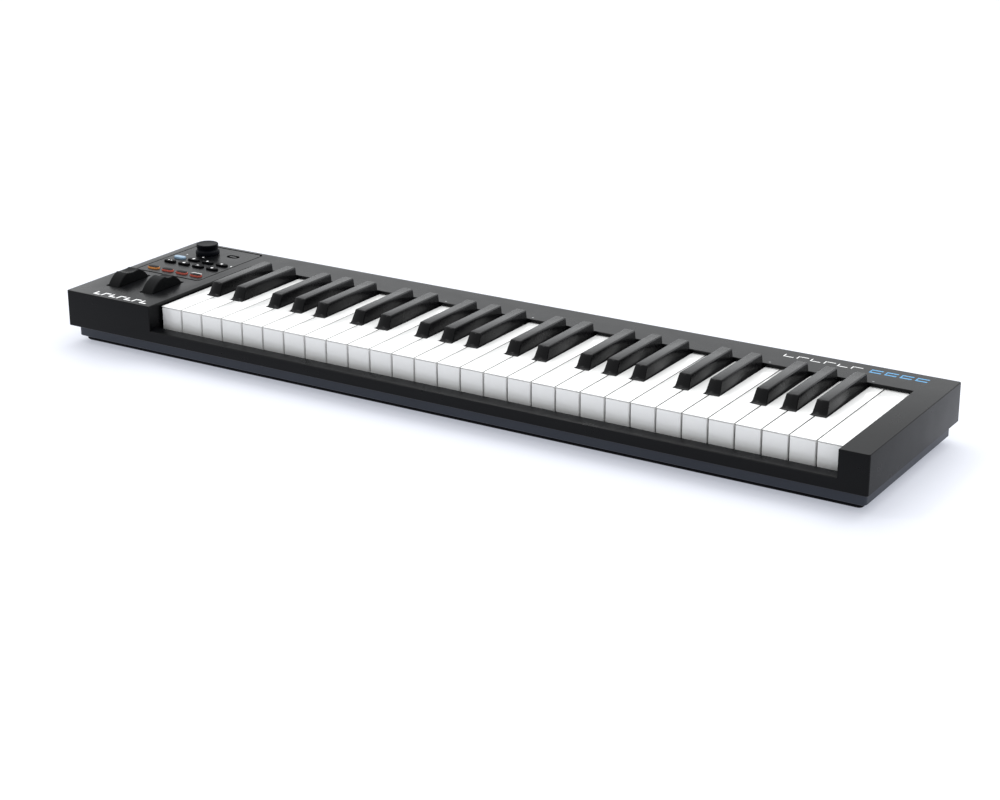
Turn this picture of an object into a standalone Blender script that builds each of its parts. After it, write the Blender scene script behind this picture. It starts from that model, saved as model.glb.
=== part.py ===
"""A 49-key MIDI keyboard controller: casing, keybed, keys, wheels, knob and buttons.

Metres, +Z up. X runs to the player's right and Y to the back. The origin is the centre of the footprint,
on the surface that the keyboard stands on. Places named FROM_LEFT or FROM_FRONT are measured from the
casing's outer faces.
"""

import math

import bmesh
import bpy

# ---- casing --------------------------------------------------------------------------------------------
CASE_WIDTH = 0.811
CASE_DEPTH = 0.194
PANEL_TOP = 0.052
SHELL_BOTTOM = 0.0175
SHELL_WALL = 0.0025
CORNER_RADIUS = 0.0022
LEFT_CHEEK = 0.1005
RIGHT_CHEEK = 0.0260
OPENING_BACK = 0.152
RAIL_TOP = 0.028
RAIL_DEPTH = 0.0138
LEFT = -CASE_WIDTH / 2
FRONT = -CASE_DEPTH / 2
CLEARANCE = 0.0003

# ---- tray ----------------------------------------------------------------------------------------------
TRAY_INSET_FRONT = 0.0086
TRAY_INSET_SIDE = 0.0046
TRAY_INSET_BACK = 0.0070
TRAY_WALL = 0.0025
TRAY_BOTTOM = 0.0010
TRAY_LIP_TOP = 0.0058
TRAY_LIP_INSET = 0.0045
TRAY_FLOOR = 0.0035
TRAY_FLANGE_TOP = 0.0200
FOOT_RADIUS = 0.0080
FEET_FROM_LEFT = (0.045, 0.4055, 0.766)
FEET_FROM_FRONT = (0.030, 0.164)
POST_RADIUS = 0.0030
POSTS_FROM_LEFT = (0.0062, 0.104, 0.255, 0.4055, 0.556, 0.707, 0.800)
BACK_POSTS_FROM_FRONT = 0.1877
CHEEK_POSTS = ((0.0125, 0.0125), (0.0905, 0.0165), (0.7990, 0.0165))

# ---- keys ----------------------------------------------------------------------------------------------
WHITE_COUNT = 29
PITCH = 0.0235
KEY_GAP = 0.0010
KEYS_LEFT = (CASE_WIDTH + LEFT_CHEEK - RIGHT_CHEEK - WHITE_COUNT * PITCH) / 2
WHITE_FRONT = 0.0163
WHITE_SHOULDER = 0.0648
KEY_BACK = 0.1820
WHITE_TOP = 0.0485
BOTTOM_AT_FRONT = 0.0240
BOTTOM_AT_BACK = 0.0340
WHITE_WALL = 0.0018
KEY_TOP_WALL = 0.0020
# How far each black key stands off the line between its two white keys, by the white key on its left.
BLACK_OFFSETS = {"C": -0.0029, "D": 0.0018, "F": -0.0031, "G": -0.0002, "A": 0.0028}
BLACK_FRONT = 0.0658
BLACK_TOP_FRONT = 0.0735
BLACK_TOP_BACK = 0.1513
BLACK_TOP = 0.0600
BLACK_DECK = 0.0483
BLACK_HALF_BASE = 0.00675
BLACK_HALF_TOP = 0.00505
BLACK_HALF_SLOT = 0.0076
BLACK_WALL = 0.0016
PIVOT_FROM_FRONT = 0.1740
PIVOT_HEIGHT = 0.0360

# ---- keybed --------------------------------------------------------------------------------------------
FRAME_FROM_FRONT = (0.0230, 0.1815)
FRAME_PLATE = (0.0105, 0.0125)
RIDGE_FROM_FRONT = (0.1725, 0.1755)
RIDGE_TOP = 0.0329
BOARD_RESTS_FROM_FRONT = (0.0890, 0.1190)
BOARD_FROM_FRONT = (0.0870, 0.1230)
BOARD = (0.0180, 0.0196)
FRAME_FEET_FROM_FRONT = (0.0230, 0.1000, 0.1785)
FRAME_RIB = 0.0030
BOARD_REST_WIDTH = 0.0020
JOIN_DEPTH = 0.0005
GUIDE_HALF_WIDTH = 0.0025
WHITE_GUIDE = (0.0255, 0.0315, 0.0330)
BLACK_GUIDE = (0.0750, 0.0810, 0.0360)
DOME_WHITE_FROM_FRONT = 0.0990
DOME_BLACK_FROM_FRONT = 0.1110
DOME_TOP = 0.0232
DOME_RADII = (0.0036, 0.0024)

# ---- left cheek controls -------------------------------------------------------------------------------
WHEEL_CENTRES = {"pitch_wheel": 0.0295, "mod_wheel": 0.0707}
WHEEL_NOTCH_ANGLE = {"pitch_wheel": 90.0, "mod_wheel": 81.0}
WHEEL_FROM_FRONT = 0.0542
WHEEL_AXIS_HEIGHT = 0.0390
WHEEL_RADIUS = 0.0250
WHEEL_WIDTH = 0.0135
WHEEL_SLOT = (0.0150, 0.0470)
WHEEL_BORE = 0.0032
WHEEL_HUB_RADIUS = 0.0070
WHEEL_WEB = 0.0040
WHEEL_RIM = 0.0125
NOTCH_RADIUS = 0.0110
NOTCH_DEPTH = 0.0035
BUTTON_COLUMNS = (0.0224, 0.0399, 0.0574, 0.0749)
BUTTON_ROWS = {"front_keypad": 0.0995, "middle_keypad": 0.1240, "back_keypad": 0.1390}
BUTTON_SIZE = (0.0132, 0.0060)
BUTTON_TOP = 0.0538
KEYPAD_MAT = (0.0432, 0.0452)
KEYPAD_MAT_HALF_DEPTH = 0.0058
KEYPAD_MAT_MARGIN = 0.0095
KNOB_CENTRE = (0.0362, 0.1650)
KNOB_RADIUS = 0.0107
KNOB_SKIRT_RADIUS = 0.01185
KNOB_HEIGHT = 0.0108
KNOB_SHAFT_RADIUS = 0.0030
KNOB_SHAFT_BOTTOM = 0.0486
KNOB_LIFT = 0.0005
CONTROL_BOARD = (0.0098, 0.0935, 0.0880, 0.1880)
CONTROL_BOARD_HEIGHT = (0.0400, 0.0416)
WHEEL_BRACKET = (0.0478, 0.0517, 0.0440)
BRACKET_BOTTOM = 0.0260
AXLE_CLEARANCE = 0.0004
ENCODER_HALF_SIDE = 0.0060
ENCODER_TOP = 0.0480
SOCKET_BACK = CASE_DEPTH - 0.0008
SOCKET_PLATE = 0.0012
SOCKET_WINDOW = (0.0235, 0.0720, 0.0270, 0.0420)
# Each housing: centre from the left, height, half width, reach below its centre, depth.
SOCKET_HOUSINGS = {
    "usb_housing": (0.0620, 0.0345, 0.0062, 0.0055, 0.0172),
    "jack_housing": (0.0330, 0.0345, 0.0078, 0.0065, 0.0332),
}
USB_OPENING = (0.0620, 0.0345, 0.0042, 0.00385, 0.0100)
JACK_OPENING = (0.0330, 0.0345, 0.0033, 0.0250)

# ---- materials: base colour, roughness, metallic ---------------------------------------------------------
MATERIALS = {
    "case_black": ((0.020, 0.021, 0.023), 0.38, 0.0),
    "tray_grey": ((0.045, 0.050, 0.062), 0.50, 0.0),
    "key_white": ((0.86, 0.86, 0.85), 0.18, 0.0),
    "key_black": ((0.012, 0.012, 0.013), 0.35, 0.0),
    "frame_grey": ((0.16, 0.16, 0.17), 0.55, 0.0),
    "board_green": ((0.02, 0.13, 0.06), 0.45, 0.0),
    "control_black": ((0.018, 0.018, 0.020), 0.45, 0.0),
    "keypad_rubber": ((0.025, 0.025, 0.028), 0.65, 0.0),
}


def from_left(distance):
    return LEFT + distance


def from_front(distance):
    return FRONT + distance


def make_material(name):
    colour, roughness, metallic = MATERIALS[name]
    material = bpy.data.materials.new(name)
    material.use_nodes = True
    shader = material.node_tree.nodes["Principled BSDF"]
    shader.inputs["Base Color"].default_value = (*colour, 1.0)
    shader.inputs["Roughness"].default_value = roughness
    shader.inputs["Metallic"].default_value = metallic
    return material


def add_object(name, bm, material=None):
    """An object from a closed bmesh, its faces turned outwards."""
    bm.normal_update()
    bmesh.ops.recalc_face_normals(bm, faces=bm.faces)
    mesh = bpy.data.meshes.new(name)
    bm.to_mesh(mesh)
    bm.free()
    thing = bpy.data.objects.new(name, mesh)
    bpy.context.collection.objects.link(thing)
    if material:
        mesh.materials.append(bpy.data.materials[material])
    return thing


def put_origin(thing, x, y, z):
    """Moves an object's origin onto its joint's axis and leaves its shape in place."""
    for vertex in thing.data.vertices:
        vertex.co.x -= x
        vertex.co.y -= y
        vertex.co.z -= z
    thing.location = (x, y, z)


def extrude_outline(outline, bottom, top):
    """A closed prism over a plan outline of (x, y) points."""
    bm = bmesh.new()
    lower = [bm.verts.new((x, y, bottom)) for x, y in outline]
    upper = [bm.verts.new((x, y, top)) for x, y in outline]
    bm.faces.new(lower)
    bm.faces.new(upper)
    for i in range(len(outline)):
        j = (i + 1) % len(outline)
        bm.faces.new((lower[i], lower[j], upper[j], upper[i]))
    return bm


def rounded_rectangle(x0, x1, y0, y1, radius, steps):
    """Plan points of a rectangle with round corners, anticlockwise."""
    points = []
    corners = ((x1 - radius, y1 - radius), (x0 + radius, y1 - radius))
    corners += ((x0 + radius, y0 + radius), (x1 - radius, y0 + radius))
    for quarter, (cx, cy) in enumerate(corners):
        for step in range(steps + 1):
            angle = math.radians(90 * quarter + 90 * step / steps)
            points.append((cx + radius * math.cos(angle), cy + radius * math.sin(angle)))
    return points


def box_bmesh(x, y, z):
    """A box over three (low, high) spans."""
    return extrude_outline(((x[0], y[0]), (x[1], y[0]), (x[1], y[1]), (x[0], y[1])), *z)


def disc_outline(cx, cy, radius, sides):
    angles = [2 * math.pi * (i + 0.5) / sides for i in range(sides)]
    return [(cx + radius * math.cos(angle), cy + radius * math.sin(angle)) for angle in angles]


def pill_outline(cx, cy, width, depth):
    half_width, half_depth = width / 2, depth / 2
    edges = (cx - half_width, cx + half_width, cy - half_depth, cy + half_depth)
    return rounded_rectangle(*edges, half_depth * 0.999, 4)


def combine(target, operation, tools):
    """Boolean modifiers that join each tool to the target, or cut it away; the tools stay out of renders."""
    for tool in tools:
        modifier = target.modifiers.new(operation.lower(), "BOOLEAN")
        modifier.operation = operation
        modifier.object = tool
        tool.hide_render = True
        tool.display_type = "WIRE"
        tool.parent = target


def block(name, x, y, z):
    return add_object(name, box_bmesh(x, y, z))


def spans(x0, x1, y0, y1):
    """World spans of a rectangle given from the left side and from the front."""
    return (from_left(x0), from_left(x1)), (from_front(y0), from_front(y1))


# ---- casing --------------------------------------------------------------------------------------------
def make_top_case():
    outline = rounded_rectangle(LEFT, -LEFT, FRONT, -FRONT, CORNER_RADIUS, 3)
    case = add_object("top_case", extrude_outline(outline, SHELL_BOTTOM, PANEL_TOP), "case_black")
    wall = SHELL_WALL
    opening_right = CASE_WIDTH - RIGHT_CHEEK
    under = SHELL_BOTTOM - 0.001
    ceiling = PANEL_TOP - wall
    above = PANEL_TOP + 0.001
    back_start = OPENING_BACK + 0.001
    hollows = {
        "hollow_left_cheek": (wall, LEFT_CHEEK - wall, wall, back_start + 0.001, under, ceiling),
        "hollow_right_cheek": (
            opening_right + wall, CASE_WIDTH - wall, wall, back_start + 0.001, under, ceiling,
        ),
        "hollow_back": (wall, CASE_WIDTH - wall, back_start, CASE_DEPTH - wall, under, ceiling),
        "hollow_rail": (
            LEFT_CHEEK + wall, opening_right - wall, wall, RAIL_DEPTH - wall, under, RAIL_TOP - wall,
        ),
        "key_well": (LEFT_CHEEK, opening_right, RAIL_DEPTH, back_start + 0.0005, under, ceiling + 0.0002),
        "above_keys": (LEFT_CHEEK, opening_right, -0.001, OPENING_BACK, RAIL_TOP, above),
    }
    cutters = []
    for name, (x0, x1, y0, y1, z0, z1) in hollows.items():
        cutters.append(block(name, *spans(x0, x1, y0, y1), (z0, z1)))
    for name, centre in WHEEL_CENTRES.items():
        x0, y0 = centre - WHEEL_SLOT[0] / 2, WHEEL_FROM_FRONT - WHEEL_SLOT[1] / 2
        slot = spans(x0, x0 + WHEEL_SLOT[0], y0, y0 + WHEEL_SLOT[1])
        cutters.append(block(name + "_slot", *slot, (ceiling - 0.001, above)))
    for row, y in BUTTON_ROWS.items():
        for column, x in enumerate(BUTTON_COLUMNS, 1):
            width, depth = (size + 2 * CLEARANCE for size in BUTTON_SIZE)
            outline = pill_outline(from_left(x), from_front(y), width, depth)
            hole = extrude_outline(outline, ceiling - 0.001, above)
            cutters.append(add_object(f"{row}_hole_{column}", hole))
    x, y = KNOB_CENTRE
    hole = disc_outline(from_left(x), from_front(y), KNOB_SHAFT_RADIUS + 0.0008, 12)
    cutters.append(add_object("knob_hole", extrude_outline(hole, ceiling - 0.001, above)))
    x0, x1, z0, z1 = SOCKET_WINDOW
    window = spans(x0, x1, CASE_DEPTH - wall - 0.001, CASE_DEPTH + 0.001)
    cutters.append(block("socket_window", *window, (z0, z1)))
    combine(case, "DIFFERENCE", cutters)


def make_bottom_tray():
    low = (TRAY_INSET_SIDE, TRAY_INSET_FRONT)
    high = (CASE_WIDTH - TRAY_INSET_SIDE, CASE_DEPTH - TRAY_INSET_BACK)

    def layer(name, inset, bottom, top):
        x, y = spans(low[0] + inset, high[0] - inset, low[1] + inset, high[1] - inset)
        return add_object(name, extrude_outline(rounded_rectangle(*x, *y, CORNER_RADIUS, 2), bottom, top))

    tray = layer("bottom_tray", 0.0, TRAY_LIP_TOP, SHELL_BOTTOM + 0.0003)
    tray.data.materials.append(bpy.data.materials["tray_grey"])
    edge = SHELL_WALL + CLEARANCE
    x, y = spans(edge, CASE_WIDTH - edge, edge, CASE_DEPTH - edge)
    flange_outline = rounded_rectangle(*x, *y, 0.001, 1)
    flange = add_object("flange", extrude_outline(flange_outline, SHELL_BOTTOM, TRAY_FLANGE_TOP))
    combine(tray, "UNION", [layer("lower_edge", TRAY_LIP_INSET, TRAY_BOTTOM, TRAY_LIP_TOP + 0.0005), flange])
    # The well's walls stand inside the rail's back wall and the two cheek walls.
    wall = TRAY_WALL
    x, y = spans(low[0] + wall, high[0] - wall, low[1] + wall, high[1] - wall)
    well = block("tray_well", x, y, (TRAY_FLOOR, TRAY_FLANGE_TOP + 0.001))
    combine(tray, "DIFFERENCE", [well] + tray_slits())
    post_top = PANEL_TOP - SHELL_WALL - CLEARANCE
    posts = [(x, BACK_POSTS_FROM_FRONT, SHELL_BOTTOM + 0.001) for x in POSTS_FROM_LEFT]
    posts += [(x, y, TRAY_FLOOR - 0.001) for x, y in CHEEK_POSTS]
    solids = []
    for number, (x, y, bottom) in enumerate(posts, 1):
        outline = disc_outline(from_left(x), from_front(y), POST_RADIUS, 8)
        solids.append(add_object(f"screw_post_{number}", extrude_outline(outline, bottom, post_top)))
    for x in FEET_FROM_LEFT:
        for y in FEET_FROM_FRONT:
            outline = disc_outline(from_left(x), from_front(y), FOOT_RADIUS, 16)
            solids.append(add_object("foot", extrude_outline(outline, 0.0, TRAY_BOTTOM + 0.001)))
    combine(tray, "UNION", solids)


def tray_slits():
    """Slits in the tray's flange where the walls between the rail and the two cheeks come down through it."""
    slits = []
    opening_right = CASE_WIDTH - RIGHT_CHEEK
    half_width = SHELL_WALL + CLEARANCE
    for side, x in (("left", LEFT_CHEEK), ("right", opening_right)):
        slit = spans(x - half_width, x + half_width, SHELL_WALL - 0.001, RAIL_DEPTH)
        slits.append(block(f"slit_{side}", *slit, (SHELL_BOTTOM - CLEARANCE, TRAY_FLANGE_TOP + 0.001)))
    return slits


# ---- keys ----------------------------------------------------------------------------------------------
def key_plan():
    """Each black key's centre by the number of white keys to its left, from the left side."""
    centres = {}
    for boundary in range(1, WHITE_COUNT):
        offset = BLACK_OFFSETS.get("CDEFGAB"[(boundary - 1) % 7])
        if offset is not None:
            centres[boundary] = KEYS_LEFT + boundary * PITCH + offset
    return centres


def bottom_height(y):
    """The height of a key's sloping lower edge, y from the front."""
    share = (y - WHITE_FRONT) / (KEY_BACK - WHITE_FRONT)
    return BOTTOM_AT_FRONT + share * (BOTTOM_AT_BACK - BOTTOM_AT_FRONT)


def white_outline(index, centres, wall):
    """The plan of a white key, or of its hollow when the wall is above 0. All keys have the same eight corners."""
    x0 = KEYS_LEFT + index * PITCH + KEY_GAP / 2 + wall
    x1 = KEYS_LEFT + (index + 1) * PITCH - KEY_GAP / 2 - wall
    left = centres[index] + BLACK_HALF_SLOT + wall if index in centres else x0
    right = centres[index + 1] - BLACK_HALF_SLOT - wall if index + 1 in centres else x1
    front, shoulder, back = WHITE_FRONT + wall, WHITE_SHOULDER - wall, KEY_BACK - wall
    corners = [(x0, front), (x1, front)]
    if right < x1:
        corners.append((x1, shoulder))
    corners.append((right, shoulder))
    corners += [(right, back), (left, back), (left, shoulder)]
    if left > x0:
        corners.append((x0, shoulder))
    return corners


def shell_bmesh(outer, inner, top, inner_top):
    """A hollow, open underneath, between two outlines with the same corners; its lower edge slopes."""
    bm = bmesh.new()

    def ring(outline, height=None):
        return [bm.verts.new((from_left(x), from_front(y), height or bottom_height(y))) for x, y in outline]

    rings = [ring(outer, top), ring(outer), ring(inner), ring(inner, inner_top)]
    bm.faces.new(rings[0])
    bm.faces.new(rings[-1])
    for upper, lower in zip(rings, rings[1:]):
        for i in range(len(upper)):
            j = (i + 1) % len(upper)
            bm.faces.new((upper[i], upper[j], lower[j], lower[i]))
    return bm


def set_pivot(key):
    put_origin(key, 0.0, from_front(PIVOT_FROM_FRONT), PIVOT_HEIGHT)


def make_white_key(index, centres):
    outer = white_outline(index, centres, 0.0)
    inner = white_outline(index, centres, WHITE_WALL)
    bm = shell_bmesh(outer, inner, WHITE_TOP, WHITE_TOP - KEY_TOP_WALL)
    set_pivot(add_object(f"white_key_{index + 1:02d}", bm, "key_white"))


def make_black_key(number, centre):
    """A hollow lower body that runs back under the panel, with the raised, tapered playing top on its front."""
    half, wall = BLACK_HALF_BASE, BLACK_WALL
    bm = bmesh.new()

    def corner(x, y, height=None):
        return bm.verts.new((from_left(centre + x), from_front(y), height or bottom_height(y)))

    def ring(half_width, front, back, height=None):
        corners = ((-half_width, front), (half_width, front), (half_width, back), (-half_width, back))
        return [corner(x, y, height) for x, y in corners]

    front = BLACK_FRONT + 0.0004
    lower = ring(half, front, KEY_BACK)
    hollow = ring(half - wall, front + wall, KEY_BACK - wall)
    ceiling = ring(half - wall, front + wall, KEY_BACK - wall, BLACK_DECK - KEY_TOP_WALL)
    deck = ring(half, BLACK_FRONT, KEY_BACK, BLACK_DECK)
    step = [corner(half, BLACK_TOP_BACK, BLACK_DECK), corner(-half, BLACK_TOP_BACK, BLACK_DECK)]
    top = ring(BLACK_HALF_TOP, BLACK_TOP_FRONT, BLACK_TOP_BACK, BLACK_TOP)
    bm.faces.new(top)
    bm.faces.new(ceiling)
    for first, second in ((lower, hollow), (hollow, ceiling)):
        for i in range(4):
            j = (i + 1) % 4
            bm.faces.new((first[i], first[j], second[j], second[i]))
    bm.faces.new((lower[0], lower[1], deck[1], deck[0]))
    bm.faces.new((lower[1], lower[2], deck[2], step[0], deck[1]))
    bm.faces.new((lower[2], lower[3], deck[3], deck[2]))
    bm.faces.new((lower[3], lower[0], deck[0], step[1], deck[3]))
    bm.faces.new((deck[0], deck[1], top[1], top[0]))
    bm.faces.new((deck[1], step[0], top[2], top[1]))
    bm.faces.new((step[0], step[1], top[3], top[2]))
    bm.faces.new((step[1], deck[0], top[0], top[3]))
    bm.faces.new((step[0], deck[2], deck[3], step[1]))
    set_pivot(add_object(f"black_key_{number:02d}", bm, "key_black"))


# ---- keybed --------------------------------------------------------------------------------------------
def make_key_frame(centres):
    x = (from_left(KEYS_LEFT + 0.001), from_left(KEYS_LEFT + WHITE_COUNT * PITCH - 0.001))
    y = tuple(from_front(edge) for edge in FRAME_FROM_FRONT)
    frame = add_object("key_frame", box_bmesh(x, y, FRAME_PLATE), "frame_grey")
    plate_bottom, plate_top = FRAME_PLATE
    pieces = []
    for number, start in enumerate(FRAME_FEET_FROM_FRONT, 1):
        foot_y = (from_front(start), from_front(start + FRAME_RIB))
        foot_z = (TRAY_FLOOR + CLEARANCE, plate_bottom + JOIN_DEPTH)
        pieces.append(block(f"frame_foot_{number}", x, foot_y, foot_z))
    ridge_y = tuple(from_front(edge) for edge in RIDGE_FROM_FRONT)
    pieces.append(block("hinge_ridge", x, ridge_y, (plate_top - JOIN_DEPTH, RIDGE_TOP)))
    for number, start in enumerate(BOARD_RESTS_FROM_FRONT, 1):
        rest_y = (from_front(start), from_front(start + BOARD_REST_WIDTH))
        rest_z = (plate_top - JOIN_DEPTH, BOARD[0] - CLEARANCE)
        pieces.append(block(f"board_rest_{number}", x, rest_y, rest_z))
    guides = [(KEYS_LEFT + (i + 0.5) * PITCH, WHITE_GUIDE) for i in range(WHITE_COUNT)]
    guides += [(centre, BLACK_GUIDE) for centre in centres.values()]
    for centre, (start, end, height) in guides:
        guide = spans(centre - GUIDE_HALF_WIDTH, centre + GUIDE_HALF_WIDTH, start, end)
        pieces.append(block("guide_post", *guide, (plate_top - JOIN_DEPTH, height)))
    combine(frame, "UNION", pieces)


def make_key_circuit_board(centres):
    x0, x1 = KEYS_LEFT + 0.004, KEYS_LEFT + WHITE_COUNT * PITCH - 0.004
    board = add_object("key_circuit_board", box_bmesh(*spans(x0, x1, *BOARD_FROM_FRONT), BOARD), "board_green")
    places = [(KEYS_LEFT + (i + 0.5) * PITCH, DOME_WHITE_FROM_FRONT) for i in range(WHITE_COUNT)]
    places += [(centre, DOME_BLACK_FROM_FRONT) for centre in centres.values()]
    wide, narrow = DOME_RADII
    bottom = BOARD[1] - JOIN_DEPTH
    height = DOME_TOP - bottom
    domes = []
    for x, y in places:
        bm = bmesh.new()
        bmesh.ops.create_cone(bm, cap_ends=True, segments=6, radius1=wide, radius2=narrow, depth=height)
        bmesh.ops.translate(bm, verts=bm.verts, vec=(from_left(x), from_front(y), bottom + height / 2))
        domes.append(add_object("contact_dome", bm))
    combine(board, "UNION", domes)


# ---- left cheek controls -------------------------------------------------------------------------------
def turned(name, profile, sides, material=None, turn_to_x=False):
    """A solid turned about Z, or about X, from a closed profile of (radius, height) points."""
    bm = bmesh.new()
    rings = []
    for i in range(sides):
        angle = 2 * math.pi * i / sides
        points = [(r * math.cos(angle), r * math.sin(angle), h) for r, h in profile]
        if turn_to_x:
            points = [(h, x, y) for x, y, h in points]
        rings.append([bm.verts.new(point) for point in points])
    for i in range(sides):
        first, second = rings[i], rings[(i + 1) % sides]
        for j in range(len(profile)):
            k = (j + 1) % len(profile)
            bm.faces.new((first[j], first[k], second[k], second[j]))
    bmesh.ops.remove_doubles(bm, verts=bm.verts, dist=1e-6)
    return add_object(name, bm, material)


def cylinder_x(name, radius, x, y, z, sides=16):
    """A cylinder along X between two places, given from the left side."""
    bm = bmesh.new()
    length = abs(x[1] - x[0])
    bmesh.ops.create_cone(bm, cap_ends=True, segments=sides, radius1=radius, radius2=radius, depth=length)
    for vertex in bm.verts:
        vertex.co = (vertex.co.z + from_left((x[0] + x[1]) / 2), vertex.co.x + from_front(y), vertex.co.y + z)
    return add_object(name, bm)


def make_wheel(name):
    """A thumb wheel with a hub, a thin web and a wide rim, and a thumb notch cut across the rim."""
    half = WHEEL_WIDTH / 2
    hub, web, rim = WHEEL_HUB_RADIUS, WHEEL_WEB / 2, WHEEL_RADIUS - WHEEL_RIM
    profile = [(WHEEL_BORE, -half), (hub, -half), (hub, -web), (rim, -web), (rim, -half), (WHEEL_RADIUS, -half)]
    profile += [(radius, -height) for radius, height in reversed(profile)]
    wheel = turned(name, profile, 40, "control_black", turn_to_x=True)
    centre = from_left(WHEEL_CENTRES[name])
    wheel.location = (centre, from_front(WHEEL_FROM_FRONT), WHEEL_AXIS_HEIGHT)
    angle = math.radians(WHEEL_NOTCH_ANGLE[name])
    reach = WHEEL_RADIUS - NOTCH_DEPTH + NOTCH_RADIUS
    y = WHEEL_FROM_FRONT + reach * math.cos(angle)
    z = WHEEL_AXIS_HEIGHT + reach * math.sin(angle)
    side = WHEEL_CENTRES[name] - half - 0.001, WHEEL_CENTRES[name] + half + 0.001
    notch = cylinder_x(name + "_notch", NOTCH_RADIUS, side, y, z, 24)
    modifier = wheel.modifiers.new("thumb notch", "BOOLEAN")
    modifier.object = notch
    notch.hide_render = True
    notch.display_type = "WIRE"


def make_knob():
    base = PANEL_TOP + KNOB_LIFT
    top = PANEL_TOP + KNOB_HEIGHT
    profile = [
        (0.0, KNOB_SHAFT_BOTTOM),
        (KNOB_SHAFT_RADIUS, KNOB_SHAFT_BOTTOM),
        (KNOB_SHAFT_RADIUS, base),
        (KNOB_SKIRT_RADIUS, base),
        (KNOB_SKIRT_RADIUS, base + 0.0034),
        (KNOB_RADIUS + 0.0003, base + 0.0040),
        (KNOB_RADIUS, top - 0.0008),
        (KNOB_RADIUS - 0.0010, top),
        (0.0, top),
    ]
    knob = turned("control_knob", profile, 24, "control_black")
    knob.location = (from_left(KNOB_CENTRE[0]), from_front(KNOB_CENTRE[1]), 0.0)


def make_keypads():
    """Three silicone keypads: a mat under the panel with four buttons that stand up through it."""
    mat_top = KEYPAD_MAT[1]
    for row, y in BUTTON_ROWS.items():
        x0, x1 = BUTTON_COLUMNS[0] - KEYPAD_MAT_MARGIN, BUTTON_COLUMNS[-1] + KEYPAD_MAT_MARGIN
        mat = spans(x0, x1, y - KEYPAD_MAT_HALF_DEPTH, y + KEYPAD_MAT_HALF_DEPTH)
        keypad = add_object(row, box_bmesh(*mat, KEYPAD_MAT), "keypad_rubber")
        buttons = []
        for column, x in enumerate(BUTTON_COLUMNS, 1):
            outline = pill_outline(from_left(x), from_front(y), *BUTTON_SIZE)
            button = extrude_outline(outline, mat_top - JOIN_DEPTH, BUTTON_TOP)
            buttons.append(add_object(f"{row}_button_{column}", button))
        combine(keypad, "UNION", buttons)


def make_control_board():
    """The board with the rotary encoder, the sockets at the back, and the bracket that carries both wheels."""
    x0, x1, y0, y1 = CONTROL_BOARD
    board_bottom, board_top = CONTROL_BOARD_HEIGHT
    board = add_object("control_board", box_bmesh(*spans(x0, x1, y0, y1), CONTROL_BOARD_HEIGHT), "board_green")
    kx, ky = KNOB_CENTRE
    half, top = ENCODER_HALF_SIDE, ENCODER_TOP
    encoder = spans(kx - half, kx + half, ky - half, ky + half)
    bx0, bx1, bracket_front = WHEEL_BRACKET
    bracket = spans(bx0, bx1, bracket_front, y0 + 0.004)
    pieces = [
        block("encoder", *encoder, (board_top - JOIN_DEPTH, top)),
        block("wheel_bracket", *bracket, (BRACKET_BOTTOM, board_top - CLEARANCE)),
    ]
    under_board = board_bottom + JOIN_DEPTH
    for name, (x, z, half_width, below, depth) in SOCKET_HOUSINGS.items():
        housing = spans(x - half_width, x + half_width, SOCKET_BACK - depth, SOCKET_BACK - JOIN_DEPTH)
        pieces.append(block(name, *housing, (z - below, under_board)))
    wx0, wx1, wz0, wz1 = SOCKET_WINDOW
    plate = spans(wx0 + CLEARANCE, wx1 - CLEARANCE, SOCKET_BACK - SOCKET_PLATE, SOCKET_BACK)
    pieces.append(block("socket_plate", *plate, (wz0 + CLEARANCE, wz1 - CLEARANCE)))
    half_wheel = WHEEL_WIDTH / 2
    reach = {"pitch_wheel": (bx0 + 0.001, WHEEL_CENTRES["pitch_wheel"] - half_wheel)}
    reach["mod_wheel"] = (bx1 - 0.001, WHEEL_CENTRES["mod_wheel"] + half_wheel)
    for name, span in reach.items():
        radius = WHEEL_BORE - AXLE_CLEARANCE
        pieces.append(cylinder_x(name + "_axle", radius, span, WHEEL_FROM_FRONT, WHEEL_AXIS_HEIGHT, 12))
    combine(board, "UNION", pieces)
    x, z, half_width, half_height, depth = USB_OPENING
    usb_span = spans(x - half_width, x + half_width, SOCKET_BACK - depth, CASE_DEPTH)
    usb = block("usb_opening", *usb_span, (z - half_height, z + half_height))
    x, z, radius, depth = JACK_OPENING
    bm = bmesh.new()
    bmesh.ops.create_cone(bm, cap_ends=True, segments=16, radius1=radius, radius2=radius, depth=depth + 0.005)
    for vertex in bm.verts:
        across, up, along = vertex.co
        vertex.co = (from_left(x) + across, from_front(SOCKET_BACK) + along - (depth - 0.005) / 2, z + up)
    combine(board, "DIFFERENCE", [usb, add_object("jack_opening", bm)])


def smooth_round_pieces():
    for name in (*WHEEL_CENTRES, "control_knob"):
        mesh = bpy.data.objects[name].data
        mesh.shade_smooth()
        mesh.set_sharp_from_angle(angle=math.radians(35))


def main():
    for thing in list(bpy.data.objects):
        bpy.data.objects.remove(thing, do_unlink=True)
    bpy.context.scene.unit_settings.scale_length = 1.0
    for name in MATERIALS:
        make_material(name)
    centres = key_plan()
    make_top_case()
    make_bottom_tray()
    make_key_frame(centres)
    make_key_circuit_board(centres)
    make_control_board()
    for index in range(WHITE_COUNT):
        make_white_key(index, centres)
    for number, centre in enumerate(centres.values(), 1):
        make_black_key(number, centre)
    for name in WHEEL_CENTRES:
        make_wheel(name)
    make_knob()
    make_keypads()
    smooth_round_pieces()


main()
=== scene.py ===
import math

import bmesh
import bpy
from mathutils import Matrix, Vector


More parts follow.
